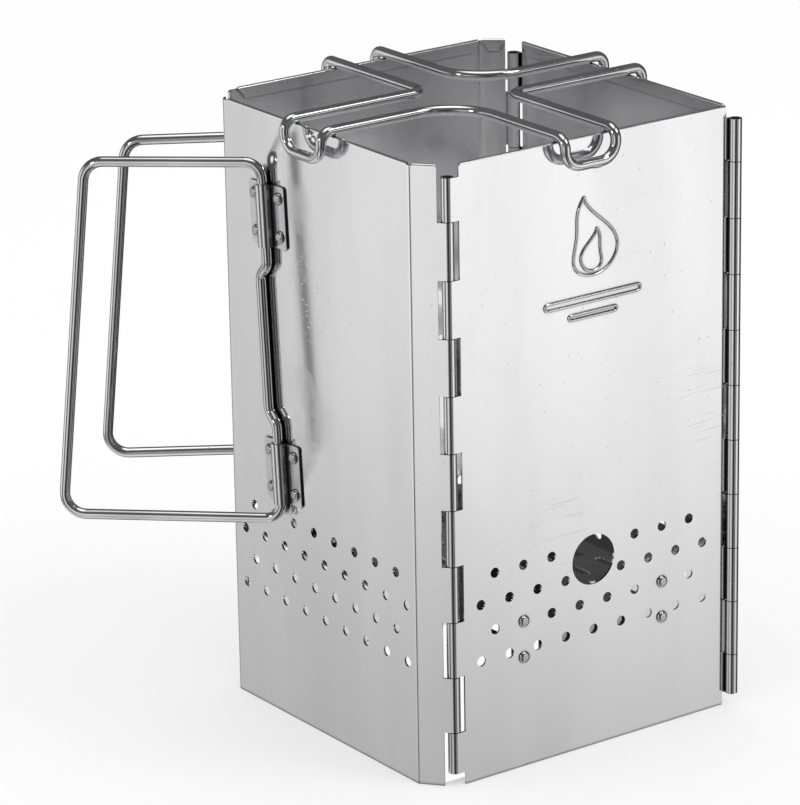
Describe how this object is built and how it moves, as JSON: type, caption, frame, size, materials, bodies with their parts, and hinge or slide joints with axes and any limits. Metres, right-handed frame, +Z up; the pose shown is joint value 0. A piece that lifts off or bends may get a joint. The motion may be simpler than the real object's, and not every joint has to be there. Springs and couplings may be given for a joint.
{
  "type": "rocket stove",
  "caption": "Folding rocket stove: a tall square body of hinged stainless panels with vent holes, folding wire handles, a wire pot support and hinged grates.",
  "frame": {"origin": "middle of the whole outline at floor level, handles included; the centre of the open body is at x 0.03345, y -0.03137", "axes": "+Z up, the panel with the round opening faces -Y, the panel with the feed opening faces +X"},
  "size_m": [0.2588, 0.2548, 0.3052],
  "materials": {
    "panel_steel": "bright rolled stainless sheet, nearly mirror smooth",
    "wire_steel": "polished round stainless wire",
    "bracket_steel": "bright pressed stainless sheet",
    "pin_steel": "drawn stainless wire",
    "rivet_steel": "domed stainless rivet",
    "grate_steel": "plain stainless sheet"
  },
  "bodies": {
    "left_front": {"left_front_panel": "panel_steel", "front_hinge_pin": "pin_steel", "left_hinge_pin": "pin_steel", "front_handle_upper_bracket": "bracket_steel", "front_handle_lower_bracket": "bracket_steel", "front_handle_rivets": "rivet_steel"},
    "right_front": {"right_front_panel": "panel_steel", "right_hinge_pin": "pin_steel", "front_grate_left_bracket": "bracket_steel", "front_grate_right_bracket": "bracket_steel", "front_grate_rivets": "rivet_steel"},
    "right_rear": {"right_rear_panel": "panel_steel"},
    "left_rear": {"left_rear_panel": "panel_steel", "rear_hinge_pin": "pin_steel", "rear_handle_upper_bracket": "bracket_steel", "rear_handle_lower_bracket": "bracket_steel", "rear_handle_rivets": "rivet_steel", "rear_grate_left_bracket": "bracket_steel", "rear_grate_right_bracket": "bracket_steel", "rear_grate_rivets": "rivet_steel"},
    "front_loop": {"front_handle": "wire_steel"},
    "rear_loop": {"rear_handle": "wire_steel"},
    "front_flap": {"front_grate": "grate_steel", "front_grate_rod": "pin_steel"},
    "rear_flap": {"rear_grate": "grate_steel", "rear_grate_rod": "pin_steel"},
    "support": {"pot_support": "wire_steel"}
  },
  "joints": [
    {"name": "fold", "type": "hinge", "parent": "left_front", "child": "right_front", "pos_m": [-0.04045, -0.11532, 0.15], "axis": [0, 0, 1], "range_deg": [0, 90]},
    {"name": "right_hinge", "type": "hinge", "parent": "right_front", "child": "right_rear", "pos_m": [0.1225, -0.12042, 0.15], "axis": [0, 0, 1], "range_deg": [-90, 0]},
    {"name": "left_hinge", "type": "hinge", "parent": "left_front", "child": "left_rear", "pos_m": [-0.04555, 0.04763, 0.15], "axis": [0, 0, 1], "range_deg": [0, 90]},
    {"name": "front_handle_swing", "type": "hinge", "parent": "left_front", "child": "front_loop", "pos_m": [-0.05635, 0.00363, 0.188], "axis": [0, 0.0576, 0.9983], "range_deg": [0, 137]},
    {"name": "rear_handle_swing", "type": "hinge", "parent": "left_rear", "child": "rear_loop", "pos_m": [-0.00155, 0.05843, 0.188], "axis": [0.0576, 0, -0.9983], "range_deg": [0, 137]},
    {"name": "front_grate_flip", "type": "hinge", "parent": "right_front", "child": "front_flap", "pos_m": [0.03945, -0.11397, 0.064], "axis": [1, 0, 0], "range_deg": [0, 90]},
    {"name": "rear_grate_flip", "type": "hinge", "parent": "left_rear", "child": "rear_flap", "pos_m": [0.03345, 0.05033, 0.064], "axis": [-1, 0, 0], "range_deg": [0, 90]},
    {"name": "support_lift", "type": "slide", "parent": "left_front", "child": "support", "axis": [0, 0.571, 0.821], "range_m": [0, 0.2106]}
  ],
  "couplings": [
    {"joint": "right_hinge", "follows": "fold", "ratio": -1},
    {"joint": "left_hinge", "follows": "fold", "ratio": 1},
    {"joint": "front_grate_flip", "follows": "fold", "ratio": 1},
    {"joint": "rear_grate_flip", "follows": "fold", "ratio": 1},
    {"joint": "support_lift", "follows": "fold", "m_per_rad": 0.134}
  ]
}
